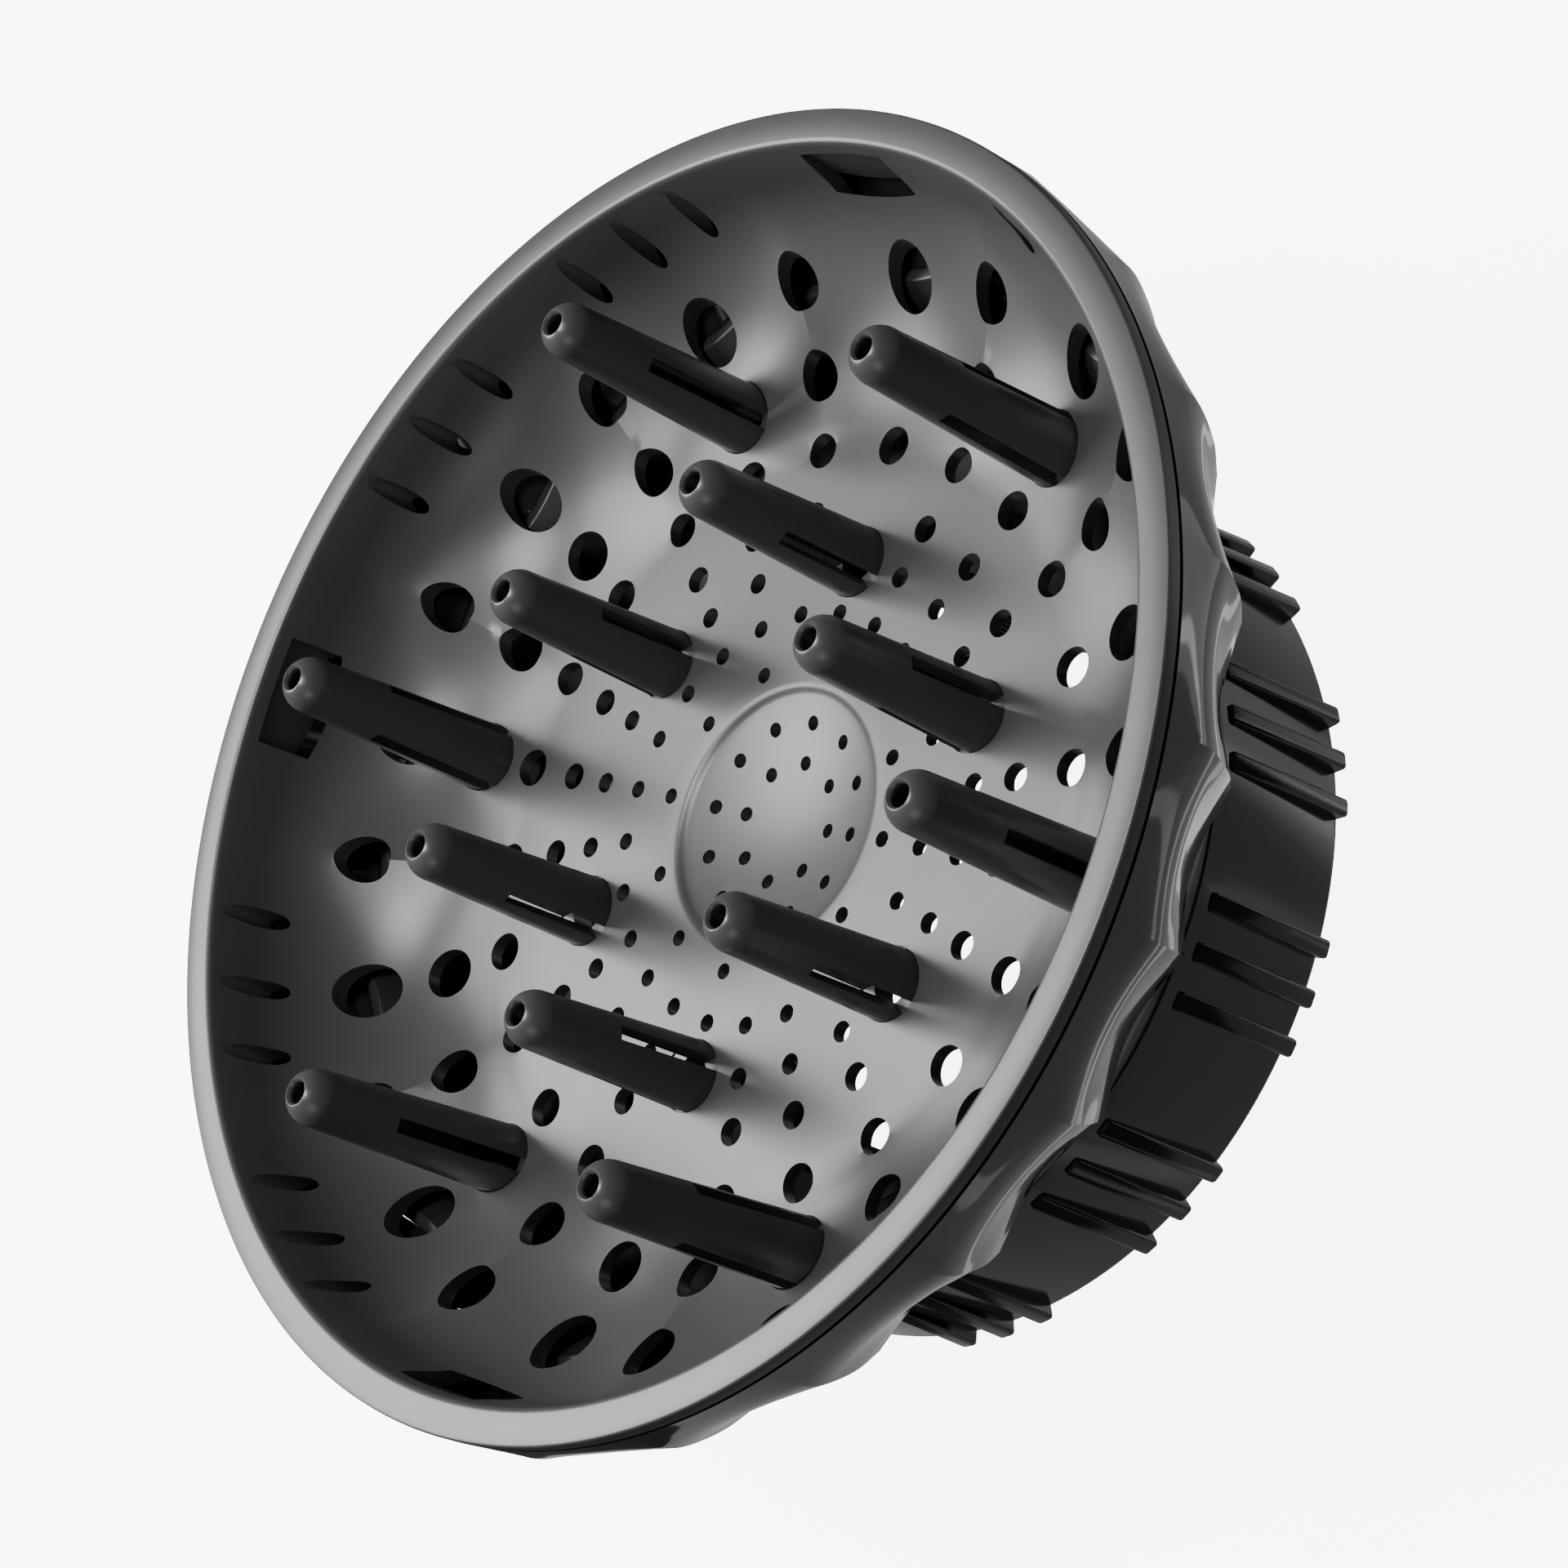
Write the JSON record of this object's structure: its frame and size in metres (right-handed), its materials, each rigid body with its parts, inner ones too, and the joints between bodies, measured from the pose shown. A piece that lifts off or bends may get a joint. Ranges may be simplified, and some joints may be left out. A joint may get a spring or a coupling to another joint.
{
  "type": "hair dryer diffuser",
  "caption": "Bowl-shaped hair dryer diffuser with hollow finger prongs, a perforated bowl and a turning collar whose sliding jaws grip the dryer's nozzle.",
  "frame": {"origin": "on the diffuser's axis, at the flat back of the locking collar", "axes": "+Z along the axis from the dryer side to the open front of the bowl; +X through two of the outer prongs"},
  "size_m": [0.16, 0.16, 0.0721],
  "materials": {
    "charcoal": "satin moulded",
    "gloss_black": "high gloss",
    "grip_black": "semi gloss",
    "inner_black": "matt",
    "rubber": "matt",
    "steel": "plain"
  },
  "bodies": {
    "head": {"diffuser_bowl": "charcoal", "prong_outer_1": "charcoal", "prong_outer_2": "charcoal", "prong_outer_3": "charcoal", "prong_outer_4": "charcoal", "prong_outer_5": "charcoal", "prong_outer_6": "charcoal", "prong_inner_1": "charcoal", "prong_inner_2": "charcoal", "prong_inner_3": "charcoal", "prong_inner_4": "charcoal", "prong_inner_5": "charcoal", "prong_inner_6": "charcoal", "outer_skirt": "gloss_black", "rear_housing": "gloss_black", "clamp_base": "inner_black", "screw_1": "steel", "screw_2": "steel", "screw_3": "steel", "screw_4": "steel", "screw_5": "steel", "screw_6": "steel"},
    "collar": {"locking_collar": "grip_black"},
    "jaw_slide_1": {"jaw_1": "inner_black", "jaw_pad_1": "rubber"},
    "jaw_slide_2": {"jaw_2": "inner_black", "jaw_pad_2": "rubber"},
    "jaw_slide_3": {"jaw_3": "inner_black", "jaw_pad_3": "rubber"},
    "jaw_slide_4": {"jaw_4": "inner_black", "jaw_pad_4": "rubber"},
    "jaw_slide_5": {"jaw_5": "inner_black", "jaw_pad_5": "rubber"},
    "jaw_slide_6": {"jaw_6": "inner_black", "jaw_pad_6": "rubber"}
  },
  "joints": [
    {"name": "collar_turn", "type": "hinge", "parent": "head", "child": "collar", "pos_m": [0, 0, 0], "axis": [0, 0, 1], "range_deg": [0, 55]},
    {"name": "jaw_1_slide", "type": "slide", "parent": "head", "child": "jaw_slide_1", "axis": [-0.866, -0.5, 0], "range_m": [0, 0.0115]},
    {"name": "jaw_2_slide", "type": "slide", "parent": "head", "child": "jaw_slide_2", "axis": [0, -1, 0], "range_m": [0, 0.0115]},
    {"name": "jaw_3_slide", "type": "slide", "parent": "head", "child": "jaw_slide_3", "axis": [0.866, -0.5, 0], "range_m": [0, 0.0115]},
    {"name": "jaw_4_slide", "type": "slide", "parent": "head", "child": "jaw_slide_4", "axis": [0.866, 0.5, 0], "range_m": [0, 0.0115]},
    {"name": "jaw_5_slide", "type": "slide", "parent": "head", "child": "jaw_slide_5", "axis": [0, 1, 0], "range_m": [0, 0.0115]},
    {"name": "jaw_6_slide", "type": "slide", "parent": "head", "child": "jaw_slide_6", "axis": [-0.866, 0.5, 0], "range_m": [0, 0.0115]}
  ],
  "couplings": [
    {"joint": "jaw_1_slide", "follows": "collar_turn", "m_per_rad": 0.01198},
    {"joint": "jaw_2_slide", "follows": "collar_turn", "m_per_rad": 0.01198},
    {"joint": "jaw_3_slide", "follows": "collar_turn", "m_per_rad": 0.01198},
    {"joint": "jaw_4_slide", "follows": "collar_turn", "m_per_rad": 0.01198},
    {"joint": "jaw_5_slide", "follows": "collar_turn", "m_per_rad": 0.01198},
    {"joint": "jaw_6_slide", "follows": "collar_turn", "m_per_rad": 0.01198}
  ]
}
